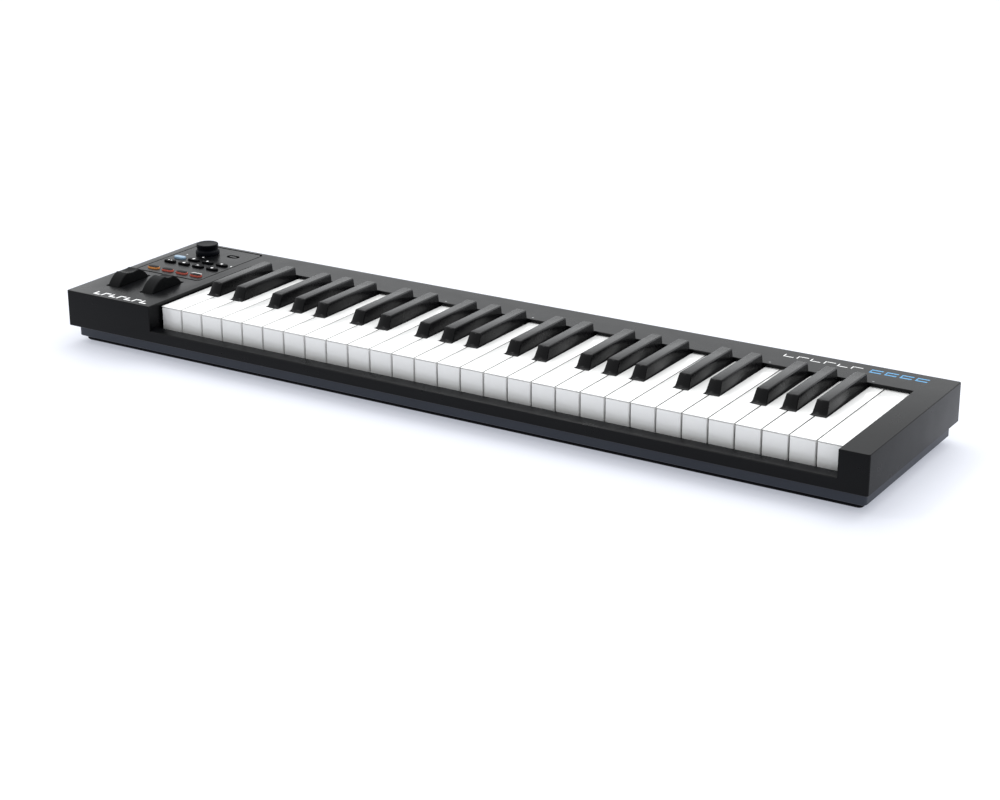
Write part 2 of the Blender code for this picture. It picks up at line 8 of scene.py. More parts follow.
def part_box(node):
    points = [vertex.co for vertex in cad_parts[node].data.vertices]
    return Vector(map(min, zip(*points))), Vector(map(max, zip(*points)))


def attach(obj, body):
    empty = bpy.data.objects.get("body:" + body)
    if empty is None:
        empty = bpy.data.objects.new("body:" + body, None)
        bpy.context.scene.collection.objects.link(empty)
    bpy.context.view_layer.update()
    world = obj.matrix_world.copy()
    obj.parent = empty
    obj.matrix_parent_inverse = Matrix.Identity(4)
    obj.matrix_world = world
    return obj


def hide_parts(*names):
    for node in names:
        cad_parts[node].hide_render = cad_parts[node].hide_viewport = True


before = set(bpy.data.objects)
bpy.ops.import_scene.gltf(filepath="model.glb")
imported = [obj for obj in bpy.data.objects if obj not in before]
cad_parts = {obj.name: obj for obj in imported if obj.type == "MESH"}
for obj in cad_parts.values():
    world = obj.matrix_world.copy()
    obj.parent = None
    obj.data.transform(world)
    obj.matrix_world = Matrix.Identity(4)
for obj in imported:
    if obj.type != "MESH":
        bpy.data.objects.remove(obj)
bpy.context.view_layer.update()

MM = 0.001

# ---- places read from the frame --------------------------------------------------------------------------
CASE_LOW, CASE_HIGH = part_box("top_case")
LEFT, RIGHT = CASE_LOW.x, CASE_HIGH.x
FRONT, BACK = CASE_LOW.y, CASE_HIGH.y
PANEL_TOP, SHELL_BOTTOM = CASE_HIGH.z, CASE_LOW.z
WHITE_KEYS = sorted(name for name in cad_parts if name.startswith("white_key"))
BLACK_KEYS = sorted(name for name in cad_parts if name.startswith("black_key"))
FIRST_WHITE, LAST_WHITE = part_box(WHITE_KEYS[0]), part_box(WHITE_KEYS[-1])
WHITE_TOP = FIRST_WHITE[1].z
KEY_GAP = 1.0 * MM
PITCH = FIRST_WHITE[1].x - FIRST_WHITE[0].x + KEY_GAP

# ---- casing ----------------------------------------------------------------------------------------------
SHELL_WALL = 2.5 * MM
CORNER_RADIUS = 2.2 * MM
EDGE_ROUND = 0.8 * MM
LOWER_EDGE_CHAMFER = 0.4 * MM
EDGE_CHAMFER = 0.5 * MM
OVER = 1 * MM  # how far a cutter reaches past the face that it opens
OPENING_SIDE_GAP = 2.0 * MM
OPENING_LEFT = FIRST_WHITE[0].x - OPENING_SIDE_GAP
OPENING_RIGHT = LAST_WHITE[1].x + OPENING_SIDE_GAP
OPENING_BACK = FRONT + 152 * MM
RAIL_TOP = 28 * MM
RAIL_CREST = 30 * MM
RAIL_BACK = FRONT + 9 * MM
# the tray's setback from the casing at its sides, front and back
TRAY_INSETS = (4.6 * MM, 8.6 * MM, 7.0 * MM)
TRAY_CORNER_RADIUS = 3.5 * MM
TRAY_LIP_TOP = 5.8 * MM
TRAY_LIP_INSET = 4.5 * MM
TRAY_BOTTOM = 1.0 * MM
TRAY_WALL = 2.5 * MM
TRAY_BEVEL, TRAY_LIP_BEVEL = 0.6 * MM, 1.2 * MM
FOOT_RADIUS = 8.0 * MM
FOOT_FROM_SIDE, FOOT_FROM_EDGE = 45 * MM, 30 * MM
SOCKET_WINDOW = (LEFT + 23.5 * MM, LEFT + 72.0 * MM, 27.0 * MM, 42.0 * MM)

# ---- openings and grooves in the left cheek --------------------------------------------------------------
WHEEL_SLOT = (15 * MM, 47 * MM)
WHEEL_SLOT_CORNER, WHEEL_SLOT_CHAMFER = 1.2 * MM, 0.6 * MM
BUTTON_COLUMNS = tuple(LEFT + offset * MM for offset in (22.4, 39.9, 57.4, 74.9))
BUTTON_SIZE = (13.2 * MM, 6.0 * MM)
BUTTON_GAP = 0.3 * MM
KNOB_SHAFT_HOLE = 3.8 * MM
KEYPADS = ("front_keypad", "middle_keypad", "back_keypad")
PANEL_FRAME = (LEFT + 9 * MM, LEFT + 88 * MM, FRONT + 86.5 * MM, FRONT + 189.5 * MM)
PANEL_FRAME_CUT = 3 * MM
PANEL_GROOVE = (1.2 * MM, 2.2 * MM)
PANEL_GROOVE_DEPTH = 1.2 * MM
BADGE = (LEFT + 65 * MM, FRONT + 169 * MM, 14.0 * MM, 9.0 * MM)
BADGE_GROOVE, BADGE_DEPTH = 3.0 * MM, 1.6 * MM


# ---- mesh helpers ----------------------------------------------------------------------------------------
def centre_of(node):
    low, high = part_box(node)
    return (low + high) / 2


def add_object(name, bm):
    bm.normal_update()
    bmesh.ops.recalc_face_normals(bm, faces=bm.faces)
    mesh = bpy.data.meshes.new(name)
    bm.to_mesh(mesh)
    bm.free()
    thing = bpy.data.objects.new(name, mesh)
    bpy.context.scene.collection.objects.link(thing)
    return thing


def finish_piece(thing, body, material, stands_for=(), smooth=40):
    """Shades a piece, gives it its material, and lets it ride on its body."""
    thing.data.materials.clear()
    thing.data.materials.append(material)
    thing.data.shade_smooth()
    thing.data.set_sharp_from_angle(angle=math.radians(smooth))
    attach(thing, body)
    if stands_for:
        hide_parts(*stands_for)


def rounded_rectangle(x0, x1, y0, y1, radius, steps=4):
    """Plan points of a rectangle with round corners, anticlockwise from the right back corner."""
    points = []
    corners = ((x1 - radius, y1 - radius), (x0 + radius, y1 - radius))
    corners += ((x0 + radius, y0 + radius), (x1 - radius, y0 + radius))
    for quarter, (cx, cy) in enumerate(corners):
        for step in range(steps + 1):
            angle = math.radians(90 * quarter + 90 * step / steps)
            points.append((cx + radius * math.cos(angle), cy + radius * math.sin(angle)))
    return points


def pill(cx, cy, width, depth, grow=0.0, steps=8):
    half_width, half_depth = width / 2 + grow, depth / 2 + grow
    return rounded_rectangle(
        cx - half_width, cx + half_width, cy - half_depth, cy + half_depth, half_depth * 0.999, steps
    )


def circle(cx, cy, radius, sides):
    turn = 2 * math.pi / sides
    return [(cx + radius * math.cos(turn * i), cy + radius * math.sin(turn * i)) for i in range(sides)]


def bridge(bm, first, second):
    """Quads between two closed loops with equal vertex counts."""
    for i in range(len(first)):
        j = (i + 1) % len(first)
        bm.faces.new((first[i], first[j], second[j], second[i]))


def skin(bm, loops):
    """A closed shape through a row of loops, capped at both ends."""
    bm.faces.new(loops[0])
    bm.faces.new(loops[-1])
    for first, second in zip(loops, loops[1:]):
        bridge(bm, first, second)


def stack_into(bm, rings):
    """A closed shape through plan outlines with equal point counts, each (outline, height), bottom to top."""
    skin(bm, [[bm.verts.new((x, y, z)) for x, y in outline] for outline, z in rings])
    return bm


def stack(name, rings):
    return add_object(name, stack_into(bmesh.new(), rings))


def box(name, x, y, z):
    outline = ((x[0], y[0]), (x[1], y[0]), (x[1], y[1]), (x[0], y[1]))
    return stack(name, [(outline, z[0]), (outline, z[1])])


def flared_cutter(name, outline_at, bottom, top, chamfer=EDGE_CHAMFER):
    """A cutter whose mouth opens at 45 degrees, so that the hole it leaves has a chamfered rim."""
    rise = 0.3 * MM
    mouth = (outline_at(chamfer + rise), top + rise)
    return stack(name, [(outline_at(0.0), bottom), (outline_at(0.0), top - chamfer), mouth])


def prism_along_x(name, outline, x0, x1):
    """A closed prism over a (y, z) outline, running along X."""
    bm = bmesh.new()
    skin(bm, [[bm.verts.new((x, y, z)) for y, z in outline] for x in (x0, x1)])
    return add_object(name, bm)


def carve(target, tools):
    """Cuts each tool out of the target and removes the tools."""
    for tool in tools:
        modifier = target.modifiers.new("carve", "BOOLEAN")
        modifier.operation = "DIFFERENCE"
        modifier.object = tool
    graph = bpy.context.evaluated_depsgraph_get()
    mesh = bpy.data.meshes.new_from_object(target.evaluated_get(graph))
    target.modifiers.clear()
    target.data = mesh
    for tool in tools:
        bpy.data.objects.remove(tool)


def lathe_into(bm, profile, sides, centre=(0.0, 0.0), ripple=None):
    """A turned solid about a vertical axis, from (radius, height) points that start and end on the axis."""
    cx, cy = centre
    bottom = bm.verts.new((cx, cy, profile[0][1]))
    top = bm.verts.new((cx, cy, profile[-1][1]))
    rings = []
    for radius, height in profile[1:-1]:
        ring = []
        for i in range(sides):
            angle = 2 * math.pi * i / sides
            reach = radius + (ripple(angle, height) if ripple else 0.0)
            ring.append(bm.verts.new((cx + reach * math.cos(angle), cy + reach * math.sin(angle), height)))
        rings.append(ring)
    for i in range(sides):
        j = (i + 1) % sides
        bm.faces.new((bottom, rings[0][j], rings[0][i]))
        bm.faces.new((top, rings[-1][i], rings[-1][j]))
        for lower, upper in zip(rings, rings[1:]):
            bm.faces.new((lower[i], lower[j], upper[j], upper[i]))
    return bm


# ---- materials -------------------------------------------------------------------------------------------
# noise scales, per metre: the colour drift, the gloss and the glow of a lamp
DRIFT_SCALE, GLOSS_SCALE, GLOW_SCALE = 14.0, 45.0, 220.0
GRAIN_STRENGTH = 0.35
COAT_ROUGHNESS = 0.08
LENS_SHADE = 0.55


def plastic(name, colour, roughness, variation=0.15, grain=(900.0, 0.02), ior=1.45, spread=0.06, coat=0.0):
    """Moulded plastic: a slow colour drift, uneven gloss from handling, and a fine moulded grain.

    The grain is its noise scale and its depth in millimetres.
    """
    material = bpy.data.materials.new(name)
    material.use_nodes = True
    nodes, links = material.node_tree.nodes, material.node_tree.links
    shader = nodes["Principled BSDF"]
    shader.inputs["IOR"].default_value = ior
    shader.inputs["Coat Weight"].default_value = coat
    shader.inputs["Coat Roughness"].default_value = COAT_ROUGHNESS
    place = nodes.new("ShaderNodeTexCoord")

    def noise(scale, detail):
        texture = nodes.new("ShaderNodeTexNoise")
        texture.inputs["Scale"].default_value = scale
        texture.inputs["Detail"].default_value = detail
        links.new(place.outputs["Object"], texture.inputs["Vector"])
        return texture.outputs["Fac"]

    drift = nodes.new("ShaderNodeMix")
    drift.data_type = "RGBA"
    drift.inputs["A"].default_value = (*(channel * (1 - variation) for channel in colour), 1.0)
    drift.inputs["B"].default_value = (*(channel * (1 + variation) for channel in colour), 1.0)
    links.new(noise(DRIFT_SCALE, 3.0), drift.inputs["Factor"])
    links.new(drift.outputs["Result"], shader.inputs["Base Color"])
    gloss = nodes.new("ShaderNodeMapRange")
    gloss.inputs["To Min"].default_value = roughness - spread
    gloss.inputs["To Max"].default_value = roughness + spread
    links.new(noise(GLOSS_SCALE, 5.0), gloss.inputs["Value"])
    links.new(gloss.outputs["Result"], shader.inputs["Roughness"])
    bump = nodes.new("ShaderNodeBump")
    bump.inputs["Strength"].default_value = GRAIN_STRENGTH
    bump.inputs["Distance"].default_value = grain[1] * MM
    links.new(noise(grain[0], 2.0), bump.inputs["Height"])
    links.new(bump.outputs["Normal"], shader.inputs["Normal"])
    return material


def lens(name, colour, glow):
    """Tinted silicone with a light behind it, whose glow is a little uneven."""
    material = plastic(name, colour, 0.35, variation=0.25, grain=(1500.0, 0.01))
    nodes, links = material.node_tree.nodes, material.node_tree.links
    shader = nodes["Principled BSDF"]
    shader.inputs["Emission Strength"].default_value = glow
    place = nodes.new("ShaderNodeTexCoord")
    cloud = nodes.new("ShaderNodeTexNoise")
    cloud.inputs["Scale"].default_value = GLOW_SCALE
    links.new(place.outputs["Object"], cloud.inputs["Vector"])
    tint = nodes.new("ShaderNodeMix")
    tint.data_type = "RGBA"
    tint.inputs["A"].default_value = (*(channel * LENS_SHADE for channel in colour), 1.0)
    tint.inputs["B"].default_value = (*colour, 1.0)
    links.new(cloud.outputs["Fac"], tint.inputs["Factor"])
    links.new(tint.outputs["Result"], shader.inputs["Emission Color"])
    return material


def metal(name, colour, roughness):
    material = plastic(name, colour, roughness, variation=0.05, grain=(2500.0, 0.004), spread=0.08)
    material.node_tree.nodes["Principled BSDF"].inputs["Metallic"].default_value = 1.0
    return material


LOOKS = {
    "case": plastic("case_black", (0.0024, 0.0026, 0.0031), 0.29, grain=(1400.0, 0.012), ior=1.21),
    "tray": plastic("tray_grey", (0.027, 0.032, 0.044), 0.42, grain=(1100.0, 0.02), ior=1.33),
    # painted shade: the tray's lower edge is near black to stand for the contact shadow beneath the tray
    "tray_painted_shade": plastic("tray_painted_shade", (0.003, 0.003, 0.004), 0.60, grain=(1100.0, 0.02), ior=1.15),
    "white": plastic("key_white", (0.83, 0.83, 0.82), 0.16, variation=0.012, grain=(60.0, 0.01), coat=0.3),
    "black": plastic("key_black", (0.0036, 0.0036, 0.0040), 0.26, grain=(1600.0, 0.010), ior=1.23),
    "wheel": plastic("wheel_black", (0.0035, 0.0038, 0.0042), 0.42, grain=(1300.0, 0.02), ior=1.17),
    "knob": plastic("knob_black", (0.0024, 0.0030, 0.0050), 0.42, grain=(1500.0, 0.02), ior=1.13),
    "keypad": plastic("keypad_rubber", (0.006, 0.006, 0.007), 0.55, grain=(1700.0, 0.02), ior=1.25),
    "button": plastic("button_black", (0.0020, 0.0022, 0.0028), 0.40, grain=(1700.0, 0.006), ior=1.10),
    "print_white": plastic("print_white", (0.80, 0.80, 0.80), 0.45, variation=0.04, grain=(900.0, 0.004)),
    "print_grey": plastic("print_grey", (0.36, 0.37, 0.38), 0.45, variation=0.04, grain=(900.0, 0.004)),
    "print_blue": plastic("print_blue", (0.06, 0.29, 0.55), 0.45, variation=0.05, grain=(900.0, 0.004)),
    "lamp_orange": lens("lamp_orange", (0.55, 0.22, 0.06), 0.20),
    "lamp_red": lens("lamp_red", (0.42, 0.085, 0.060), 0.20),
    "lamp_blue": lens("lamp_blue", (0.20, 0.30, 0.40), 0.12),
    "rubber": plastic("foot_rubber", (0.016, 0.016, 0.017), 0.75, grain=(800.0, 0.05)),
    "frame": plastic("frame_grey", (0.10, 0.10, 0.105), 0.55),
    "board": plastic("circuit_board", (0.012, 0.075, 0.035), 0.35, variation=0.3, grain=(400.0, 0.02)),
    "steel": metal("socket_steel", (0.55, 0.55, 0.56), 0.28),
    "screw": metal("screw_black", (0.06, 0.06, 0.065), 0.40),
}


# ---- casing ----------------------------------------------------------------------------------------------
def outer_outline(inset):
    radius = max(CORNER_RADIUS - inset, 0.2 * MM)
    return rounded_rectangle(LEFT + inset, RIGHT - inset, FRONT + inset, BACK - inset, radius, 6)


def rounded_top_rings(outline_at, top, radius, steps=4):
    """Outlines that turn a prism's upper edge over in a quarter circle."""
    rings = []
    for step in range(steps + 1):
        angle = math.radians(90 * step / steps)
        rings.append((outline_at(radius * (1 - math.cos(angle))), top - radius * (1 - math.sin(angle))))
    return rings


def casing_hollows():
    """The spaces under the cheeks, the back strip and the rail, and the well that the keys stand in."""
    wall, step = SHELL_WALL, 1 * MM
    back_start = OPENING_BACK + step
    under, ceiling = SHELL_BOTTOM - OVER, PANEL_TOP - wall
    height, cheek = (under, ceiling), (FRONT + wall, back_start + step)
    rail, well = (FRONT + wall, RAIL_BACK - wall), (RAIL_BACK, back_start + step / 2)
    return [
        box("hollow_left", (LEFT + wall, OPENING_LEFT - wall), cheek, height),
        box("hollow_right", (OPENING_RIGHT + wall, RIGHT - wall), cheek, height),
        box("hollow_back", (LEFT + wall, RIGHT - wall), (back_start, BACK - wall), height),
        box("hollow_rail", (OPENING_LEFT + wall, OPENING_RIGHT - wall), rail, (under, RAIL_TOP - wall)),
        box("key_well", (OPENING_LEFT, OPENING_RIGHT), well, (under, ceiling + 0.2 * MM)),
    ]


def edge_chamfers():
    """Wedges that slope the rail's top and break its front edge and the cheeks' inner front corners."""
    c, over = EDGE_CHAMFER, OVER
    y0, y1 = FRONT - over, RAIL_BACK + over
    rail = ((y0, RAIL_TOP - c - over), (FRONT + c + over, RAIL_TOP + over), (y0, RAIL_TOP + over))
    wedges = [prism_along_x("rail_edge", rail, OPENING_LEFT, OPENING_RIGHT)]
    fall = (RAIL_CREST - RAIL_TOP) / (RAIL_BACK - FRONT)
    slope = ((y0, RAIL_TOP - fall * over), (y1, RAIL_CREST + fall * over))
    slope += ((y1, RAIL_CREST + over), (y0, RAIL_CREST + over))
    wedges.append(prism_along_x("rail_slope", slope, OPENING_LEFT, OPENING_RIGHT))
    for name, x, side in (("left", OPENING_LEFT, 1), ("right", OPENING_RIGHT, -1)):
        inside = x + side * over
        corner = ((inside, y0), (inside, FRONT + c + over), (x - side * (c + over), y0))
        wedges.append(stack(f"cheek_edge_{name}", [(corner, RAIL_TOP), (corner, PANEL_TOP + over)]))
    return wedges


def control_cutters():
    """The wheel slots, the button holes and the knob's shaft hole, each with a chamfered rim."""
    below = PANEL_TOP - SHELL_WALL - OVER
    cutters = []
    for wheel in ("pitch_wheel", "mod_wheel"):
        c = centre_of(wheel)

        def slot(grow, c=c):
            dx, dy = WHEEL_SLOT[0] / 2 + grow, WHEEL_SLOT[1] / 2 + grow
            return rounded_rectangle(c.x - dx, c.x + dx, c.y - dy, c.y + dy, WHEEL_SLOT_CORNER + grow)

        cutters.append(flared_cutter(wheel + "_slot", slot, below, PANEL_TOP, WHEEL_SLOT_CHAMFER))
    for keypad in KEYPADS:
        y = centre_of(keypad).y
        for column, x in enumerate(BUTTON_COLUMNS):

            def hole(grow, x=x, y=y):
                return pill(x, y, *BUTTON_SIZE, grow=grow + BUTTON_GAP)

            cutters.append(flared_cutter(f"{keypad}_hole_{column}", hole, below, PANEL_TOP, 0.3 * MM))
    knob = centre_of("control_knob")

    def shaft_hole(grow):
        return circle(knob.x, knob.y, KNOB_SHAFT_HOLE + grow, 32)

    return cutters + [flared_cutter("knob_hole", shaft_hole, below, PANEL_TOP)]


def frame_line(inset_x=0.0, inset_y=0.0):
    """The control panel's outline, with its two right corners cut off."""
    x0, x1, y0, y1 = PANEL_FRAME
    x0, x1, y0, y1 = x0 + inset_x, x1 - inset_x, y0 + inset_y, y1 - inset_y
    cut = PANEL_FRAME_CUT
    return [(x0, y0), (x1 - cut, y0), (x1, y0 + cut), (x1, y1 - cut), (x1 - cut, y1), (x0, y1)]


def ring_cutter(name, outer, inner, depth):
    """A closed band between two plan outlines, sunk into the panel."""
    bm = bmesh.new()
    low, high = PANEL_TOP - depth, PANEL_TOP + OVER
    section = ((outer, low), (inner, low), (inner, high), (outer, high))
    loops = [[bm.verts.new((x, y, z)) for x, y in outline] for outline, z in section]
    for first, second in zip(loops, loops[1:] + loops[:1]):
        bridge(bm, first, second)
    return add_object(name, bm)


def make_casing():
    chamfer = LOWER_EDGE_CHAMFER
    rings = [(outer_outline(chamfer), SHELL_BOTTOM), (outer_outline(0.0), SHELL_BOTTOM + chamfer)]
    rings += rounded_top_rings(outer_outline, PANEL_TOP, EDGE_ROUND)
    casing = stack("casing", rings)

    def opening(grow):
        x0, x1, y0, y1 = OPENING_LEFT - grow, OPENING_RIGHT + grow, FRONT - 5 * OVER, OPENING_BACK + grow
        return [(x1, y1), (x0, y1), (x0, y0), (x1, y0)]

    tools = casing_hollows()
    tools.append(flared_cutter("opening", opening, RAIL_CREST, PANEL_TOP))
    tools += edge_chamfers() + control_cutters()
    tools.append(ring_cutter("panel_line", frame_line(), frame_line(*PANEL_GROOVE), PANEL_GROOVE_DEPTH))
    tools.append(ring_cutter("badge_line", pill(*BADGE), pill(*BADGE, grow=-BADGE_GROOVE), BADGE_DEPTH))
    x0, x1, z0, z1 = SOCKET_WINDOW
    tools.append(box("window", (x0, x1), (BACK - SHELL_WALL - OVER, BACK + OVER), (z0, z1)))
    carve(casing, tools)
    finish_piece(casing, "base", LOOKS["case"], ["top_case"], smooth=30)


def tray_outline(inset):
    side, front, back = (edge + inset for edge in TRAY_INSETS)
    return rounded_rectangle(LEFT + side, RIGHT - side, FRONT + front, BACK - back, TRAY_CORNER_RADIUS, 6)


def make_tray():
    """The dark grey tray under the casing, and its inset lower edge, coloured near black as painted shade for
    the contact shadow under the tray.
    """
    top, side, inside = SHELL_BOTTOM + 2 * MM, tray_outline(0.0), tray_outline(TRAY_WALL)
    floor_top = TRAY_LIP_TOP + 1 * MM
    rings = [(tray_outline(TRAY_BEVEL), TRAY_LIP_TOP), (side, TRAY_LIP_TOP + TRAY_BEVEL), (side, top)]
    tray = stack("tray", rings)
    carve(tray, [stack("well", [(inside, floor_top), (inside, top + OVER)])])
    finish_piece(tray, "base", LOOKS["tray"], ["bottom_tray"], smooth=30)
    lip, bevel = tray_outline(TRAY_LIP_INSET), TRAY_LIP_BEVEL
    rings = [(tray_outline(TRAY_LIP_INSET + bevel), TRAY_BOTTOM), (lip, TRAY_BOTTOM + bevel)]
    lower = stack("tray_lower_edge", rings + [(lip, TRAY_LIP_TOP + 0.2 * MM)])
    # the lower edge's near-black colour is painted shade for the shadow under the tray
    finish_piece(lower, "base", LOOKS["tray_painted_shade"], smooth=30)


def make_feet():
    """Six rubber feet, each with its lower edge broken."""
    bevel = 0.4 * MM
    for row, y in enumerate((FRONT + FOOT_FROM_EDGE, BACK - FOOT_FROM_EDGE), 1):
        for column, x in enumerate((LEFT + FOOT_FROM_SIDE, 0.0, RIGHT - FOOT_FROM_SIDE), 1):
            tread, side = circle(x, y, FOOT_RADIUS - bevel, 40), circle(x, y, FOOT_RADIUS, 40)
            rings = [(tread, 0.0), (side, bevel), (side, TRAY_BOTTOM + 0.3 * MM)]
            finish_piece(stack(f"foot_{row}_{column}", rings), "base", LOOKS["rubber"], smooth=30)


# ---- keys ------------------------------------------------------------------------------------------------
KEY_BACK = FIRST_WHITE[1].y
WHITE_FRONT = FIRST_WHITE[0].y
WHITE_SHOULDER = FRONT + 64.8 * MM
BOTTOM_AT_FRONT, BOTTOM_AT_BACK = 24 * MM, 34 * MM
BLACK_HALF_SLOT = 7.6 * MM
LIP_HEIGHT, NECK_HEIGHT = 0.40 * MM, 1.25 * MM
TOP_INSET, NECK_INSET, BODY_INSET, HOLLOW_INSET = 0.1 * MM, 1.6 * MM, 2.2 * MM, 4.0 * MM
TOP_ROUND = 0.28 * MM
PLATE_INSET, PLATE_SETBACK, PLATE_THICKNESS, PLATE_ROUND = 0.45 * MM, 0.15 * MM, 2.6 * MM, 0.35 * MM


def bottom_height(y):
    """The underside of a key, which rises towards its hinge."""
    share = (y - WHITE_FRONT) / (KEY_BACK - WHITE_FRONT)
    return BOTTOM_AT_FRONT + share * (BOTTOM_AT_BACK - BOTTOM_AT_FRONT)


def white_plan(low, high, slots, wall):
    """The plan of a white key, narrowed at its back by the black keys beside it and drawn in by a wall."""
    x0, x1 = low.x + wall, high.x - wall
    left = slots[0] + wall if slots[0] else x0
    right = slots[1] - wall if slots[1] else x1
    front, shoulder, back = low.y + wall, WHITE_SHOULDER - wall, high.y - wall
    corners = [(x0, front), (x1, front)]
    if right < x1:
        corners.append((x1, shoulder))
    corners += [(right, shoulder), (right, back), (left, back), (left, shoulder)]
    if left > x0:
        corners.append((x0, shoulder))
    return corners


def make_white_key(name, black_centres):
    """A thin top that overhangs a neck, a front plate, and a narrower hollow body behind the plate."""
    low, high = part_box(name)
    slots = [None, None]
    for centre in black_centres:
        if abs(centre - low.x) < PITCH / 3:
            slots[0] = centre + BLACK_HALF_SLOT
        if abs(centre - high.x) < PITCH / 3:
            slots[1] = centre - BLACK_HALF_SLOT
    walls = (TOP_INSET, NECK_INSET, BODY_INSET, HOLLOW_INSET)
    top_plan, neck, body, hollow = (white_plan(low, high, slots, wall) for wall in walls)
    lip, neck_bottom, overlap = WHITE_TOP - LIP_HEIGHT, WHITE_TOP - NECK_HEIGHT, 0.1 * MM
    bm = bmesh.new()
    stack_into(bm, [(top_plan, lip), (top_plan, WHITE_TOP)])
    rim = [edge for edge in bm.edges if all(vertex.co.z > lip + overlap for vertex in edge.verts)]
    bmesh.ops.bevel(bm, geom=rim, offset=TOP_ROUND, segments=3, profile=0.5, affect="EDGES")
    stack_into(bm, [(neck, neck_bottom - overlap), (neck, lip + overlap)])
    rings = [[bm.verts.new((x, y, neck_bottom)) for x, y in body]]
    rings += [[bm.verts.new((x, y, bottom_height(y))) for x, y in outline] for outline in (body, hollow)]
    rings.append([bm.verts.new((x, y, neck_bottom - 0.5 * MM)) for x, y in hollow])
    skin(bm, rings)
    front_plate(bm, (low.x + PLATE_INSET, high.x - PLATE_INSET), low.y + PLATE_SETBACK, neck_bottom)
    cap = add_object(name.replace("key", "key_cap"), bm)
    finish_piece(cap, name, LOOKS["white"], [name], smooth=50)


def front_plate(bm, x, front, top):
    """The plate that closes the key's front, with its outer edges rounded."""
    back = front + PLATE_THICKNESS
    known = set(bm.verts)
    outline = ((x[0], front), (x[1], front), (x[1], back), (x[0], back))
    stack_into(bm, [(outline, BOTTOM_AT_FRONT), (outline, top)])
    fresh = [vertex for vertex in bm.verts if vertex not in known]
    edges = {edge for vertex in fresh for edge in vertex.link_edges}
    outer = [edge for edge in edges if all(vertex.co.y < front + 0.1 * MM for vertex in edge.verts)]
    bmesh.ops.bevel(bm, geom=outer, offset=PLATE_ROUND, segments=3, profile=0.5, affect="EDGES")


BLACK_DECK = 48.3 * MM
BLACK_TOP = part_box(BLACK_KEYS[0])[1].z
BLACK_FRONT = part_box(BLACK_KEYS[0])[0].y
BLACK_TOP_BACK = FRONT + 151.3 * MM
BLACK_HALF_WIDTH, BLACK_TAPER = 6.45 * MM, 1.30 * MM
BLACK_SLOPE, BLACK_FOOT = 6.34 * MM, 1.56 * MM
BLACK_FOOT_SHARE, BLACK_FOOT_FLARE = 0.18, 0.35 * MM
BLACK_CORNER, BLACK_TOP_ROUND = 0.6 * MM, 1.0 * MM
BLACK_LEVELS = (-0.03, 0.0, 0.03, 0.07, 0.12, 0.18, 0.30, 0.50, 0.70)
BLACK_BODY_HALF_WIDTH = 6.65 * MM


def black_plan(cx, rise, inset):
    """A level of a black key's playing part: rise runs from 0 at its foot to 1 at its top."""
    foot = max(0.0, 1 - rise / BLACK_FOOT_SHARE) ** 2
    front = BLACK_FRONT + BLACK_FOOT * (1 - foot) + BLACK_SLOPE * rise + inset
    back = BLACK_TOP_BACK - inset * 0.5
    half = BLACK_HALF_WIDTH - BLACK_TAPER * rise - inset
    nose, corner = half + BLACK_FOOT_FLARE * foot, BLACK_CORNER
    right = [(nose - corner, front), (nose, front + corner), (half + 0.1 * MM * foot, front + 2.5 * MM)]
    right += [(half, front + 6 * MM), (half, back - corner), (half - corner, back)]
    points = [(cx + x, y) for x, y in right]
    return points + [(cx - x, y) for x, y in reversed(right)]


def make_black_key(name):
    low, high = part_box(name)
    cx = (low.x + high.x) / 2
    height = BLACK_TOP - BLACK_DECK
    rings = [(black_plan(cx, max(rise, 0.0), 0.0), BLACK_DECK + rise * height) for rise in BLACK_LEVELS]
    for step in range(5):
        angle = math.radians(90 * step / 4)
        z = BLACK_TOP - BLACK_TOP_ROUND * (1 - math.sin(angle))
        rings.append((black_plan(cx, (z - BLACK_DECK) / height, BLACK_TOP_ROUND * (1 - math.cos(angle))), z))
    bm = stack_into(bmesh.new(), rings)
    x0, x1, front = cx - BLACK_BODY_HALF_WIDTH, cx + BLACK_BODY_HALF_WIDTH, low.y + 0.5 * MM
    outline = ((x0, front), (x1, front), (x1, high.y), (x0, high.y))
    lower = [bm.verts.new((x, y, bottom_height(y))) for x, y in outline]
    skin(bm, [lower, [bm.verts.new((x, y, BLACK_DECK - 0.1 * MM)) for x, y in outline]])
    cap = add_object(name.replace("key", "key_cap"), bm)
    finish_piece(cap, name, LOOKS["black"], [name], smooth=50)


# ---- wheels, knob and buttons ----------------------------------------------------------------------------
WHEEL_RADIUS = 25 * MM
WHEEL_AXIS = (FRONT + 54.2 * MM, 39 * MM)
# angle of the notch's middle and its half angle in degrees, and its depth
WHEEL_NOTCHES = {"pitch_wheel": (90.0, 19.5, 3.3 * MM), "mod_wheel": (81.0, 13.5, 2.8 * MM)}
WHEEL_SIDES = 180
RIM_DEPTH, RIM_CHAMFER, RIM_ROUND = 14 * MM, 1.0 * MM, 1.0 * MM
WEB_RADIUS, WEB_SHARE = 11.5 * MM, 0.6
KNOB_GAP, KNOB_RADIUS = 0.5 * MM, 10.9 * MM
FLUTES, FLUTE_DEPTH = 30, 0.16 * MM
MAT_THICKNESS = 2 * MM
CAP_INSET, CAP_RISE = 0.35 * MM, 0.45 * MM
LAMPS = ("lamp_orange", "lamp_red", "lamp_red", "lamp_red")
INK_RISE = 0.03 * MM


def wheel_reach(degrees, across, notch):
    """The rim's radius at an angle: a round wheel with a thumb notch, deepest at the middle of its width."""
    middle, half_angle, depth = notch
    away = abs((degrees - middle + 180) % 360 - 180) / half_angle
    if away >= 1:
        return WHEEL_RADIUS
    return WHEEL_RADIUS - depth * math.cos(away * math.pi / 2) ** 0.8 * (1 - 0.30 * across * across)


def rod_along_x(bm, x, length, radius, sides):
    """A solid disc or rod on the wheels' axis, with its middle at x."""
    place = Matrix.Translation((x, *WHEEL_AXIS)) @ Matrix.Rotation(math.radians(90), 4, "Y")
    bmesh.ops.create_cone(
        bm, cap_ends=True, segments=sides, radius1=radius, radius2=radius, depth=length, matrix=place
    )
    return bm


